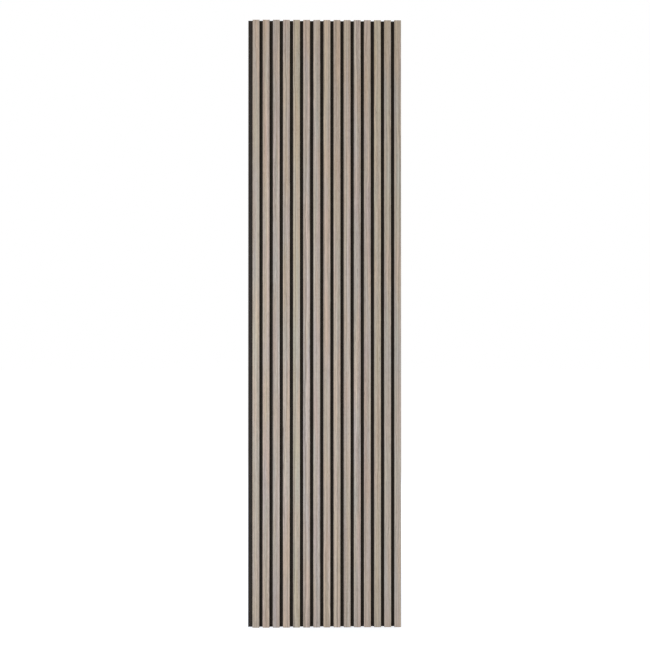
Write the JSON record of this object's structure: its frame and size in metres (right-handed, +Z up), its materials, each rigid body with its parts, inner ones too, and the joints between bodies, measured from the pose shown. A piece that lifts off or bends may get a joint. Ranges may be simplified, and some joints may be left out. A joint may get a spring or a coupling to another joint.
{
  "type": "acoustic slat wall panel",
  "caption": "Tall flat wall panel that soaks up sound: upright wood-veneered slats stapled to a dark felt sheet, with a bare felt strip along one side for the joint.",
  "frame": {"origin": "middle of the bottom edge of the felt's back face, on the wall plane", "axes": "+X across the panel, from the bare joint strip to the flush edge; +Y square into the wall, so the slats face -Y; +Z up along the slats"},
  "size_m": [0.605, 0.021, 2.4],
  "materials": {
    "felt": "needle-punched polyester felt, dark charcoal, matt and slightly heathered",
    "core_board": "black-dyed medium-density fibreboard, sawn edges",
    "veneer": "grey-beige straight-grained oak veneer, matt lacquer",
    "staple_wire": "galvanised flat wire"
  },
  "bodies": {
    "root": {"felt_backing": "felt", "slat_core_01": "core_board", "slat_core_02": "core_board", "slat_core_03": "core_board", "slat_core_04": "core_board", "slat_core_05": "core_board", "slat_core_06": "core_board", "slat_core_07": "core_board", "slat_core_08": "core_board", "slat_core_09": "core_board", "slat_core_10": "core_board", "slat_core_11": "core_board", "slat_core_12": "core_board", "slat_core_13": "core_board", "slat_core_14": "core_board", "slat_core_15": "core_board", "slat_veneer_01": "veneer", "slat_veneer_02": "veneer", "slat_veneer_03": "veneer", "slat_veneer_04": "veneer", "slat_veneer_05": "veneer", "slat_veneer_06": "veneer", "slat_veneer_07": "veneer", "slat_veneer_08": "veneer", "slat_veneer_09": "veneer", "slat_veneer_10": "veneer", "slat_veneer_11": "veneer", "slat_veneer_12": "veneer", "slat_veneer_13": "veneer", "slat_veneer_14": "veneer", "slat_veneer_15": "veneer", "staples": "staple_wire"}
  },
  "joints": []
}
